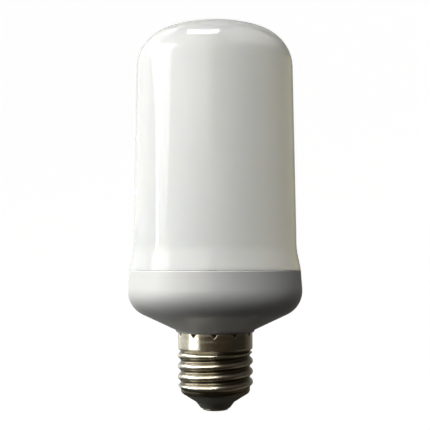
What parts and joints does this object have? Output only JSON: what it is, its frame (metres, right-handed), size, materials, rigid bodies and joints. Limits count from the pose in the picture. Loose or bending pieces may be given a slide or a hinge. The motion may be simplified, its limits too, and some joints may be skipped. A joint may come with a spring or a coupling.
{
  "type": "flame effect led bulb",
  "caption": "Tall milky flame effect LED bulb with a flared white base housing and a nickel medium screw cap.",
  "frame": {"origin": "centre of the end contact's flat face, at the bottom of the screw cap", "axes": "+Z along the lamp's axis from the end contact to the dome; +X and +Y square to it, the driver board lies in the X-Z plane"},
  "size_m": [0.061, 0.061, 0.136],
  "materials": {
    "diffuser": "glossy milky white, lets light through",
    "housing": "satin white",
    "cap_metal": "nickel plated, slightly satin",
    "cap_insulator": "black",
    "contact_metal": "nickel plated brass",
    "carrier": "natural moulded white",
    "white_board": "white solder mask",
    "led_package": "white body with a yellow phosphor window",
    "chip_black": "moulded black",
    "screw_metal": "zinc plated",
    "green_board": "green solder mask",
    "capacitor_sleeve": "dark shrink sleeve",
    "ferrite": "dull grey ferrite",
    "winding_tape": "yellow polyester tape",
    "resistor_coat": "cement coat",
    "wire_red": "insulated lead",
    "wire_dark": "insulated lead"
  },
  "bodies": {
    "root": {"diffuser_cover": "diffuser", "base_housing": "housing", "screw_shell": "cap_metal", "cap_insulator": "cap_insulator", "centre_contact": "contact_metal", "led_carrier": "carrier", "flex_led_board": "white_board", "end_led_board": "white_board", "side_leds": "led_package", "end_leds": "led_package", "controller_chip": "chip_black", "bridge_rectifier": "chip_black", "driver_chip": "chip_black", "output_diode": "chip_black", "chip_resistors": "chip_black", "carrier_screws": "screw_metal", "driver_board": "green_board", "input_capacitor": "capacitor_sleeve", "output_capacitor": "capacitor_sleeve", "transformer_core": "ferrite", "choke": "ferrite", "transformer_winding": "winding_tape", "fusible_resistor": "resistor_coat", "live_wire": "wire_red", "led_wire_positive": "wire_red", "neutral_wire": "wire_dark", "led_wire_negative": "wire_dark"}
  },
  "joints": []
}
